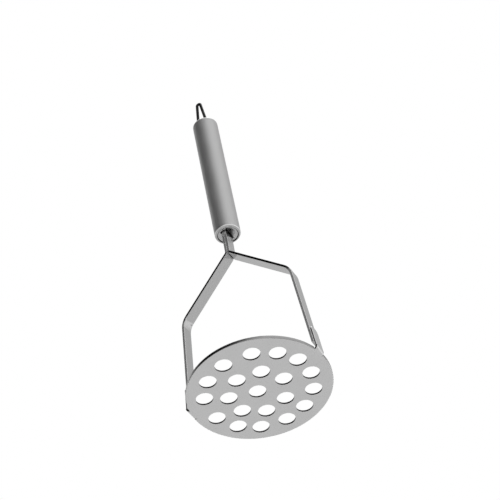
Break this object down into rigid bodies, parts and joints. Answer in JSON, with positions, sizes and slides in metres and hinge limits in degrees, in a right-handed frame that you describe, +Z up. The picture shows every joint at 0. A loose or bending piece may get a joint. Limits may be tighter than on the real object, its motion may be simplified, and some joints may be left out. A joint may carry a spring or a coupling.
{
  "type": "potato masher",
  "caption": "Hand potato masher: round perforated plate on two bent flat arms, with a tubular handle and a wire hanging loop.",
  "frame": {"origin": "middle of the mashing plate's underside, which is also the bottom centre of the whole object's box", "axes": "+Z runs up along the handle, +X to the right across the two arms, +Y away from the side where the arms stand"},
  "size_m": [0.0816, 0.08, 0.24],
  "materials": {
    "plate_steel": "satin rolled stainless sheet with punched holes",
    "arm_steel": "satin stainless strip, brushed along its length",
    "handle_steel": "satin stainless tube, fine brushing round the handle",
    "cap_steel": "pressed stainless cap, lightly brushed",
    "wire_steel": "bright drawn stainless wire",
    "weld_metal": "dull weld metal"
  },
  "bodies": {
    "root": {"mashing_plate": "plate_steel", "left_arm": "arm_steel", "right_arm": "arm_steel", "handle_tube": "handle_steel", "lower_cap": "cap_steel", "upper_cap": "cap_steel", "hanging_loop": "wire_steel", "tang_bead": "weld_metal", "left_lower_weld": "weld_metal", "left_upper_weld": "weld_metal", "right_lower_weld": "weld_metal", "right_upper_weld": "weld_metal", "tang_lower_weld": "weld_metal", "tang_upper_weld": "weld_metal", "left_loop_bead": "weld_metal", "right_loop_bead": "weld_metal"}
  },
  "joints": []
}
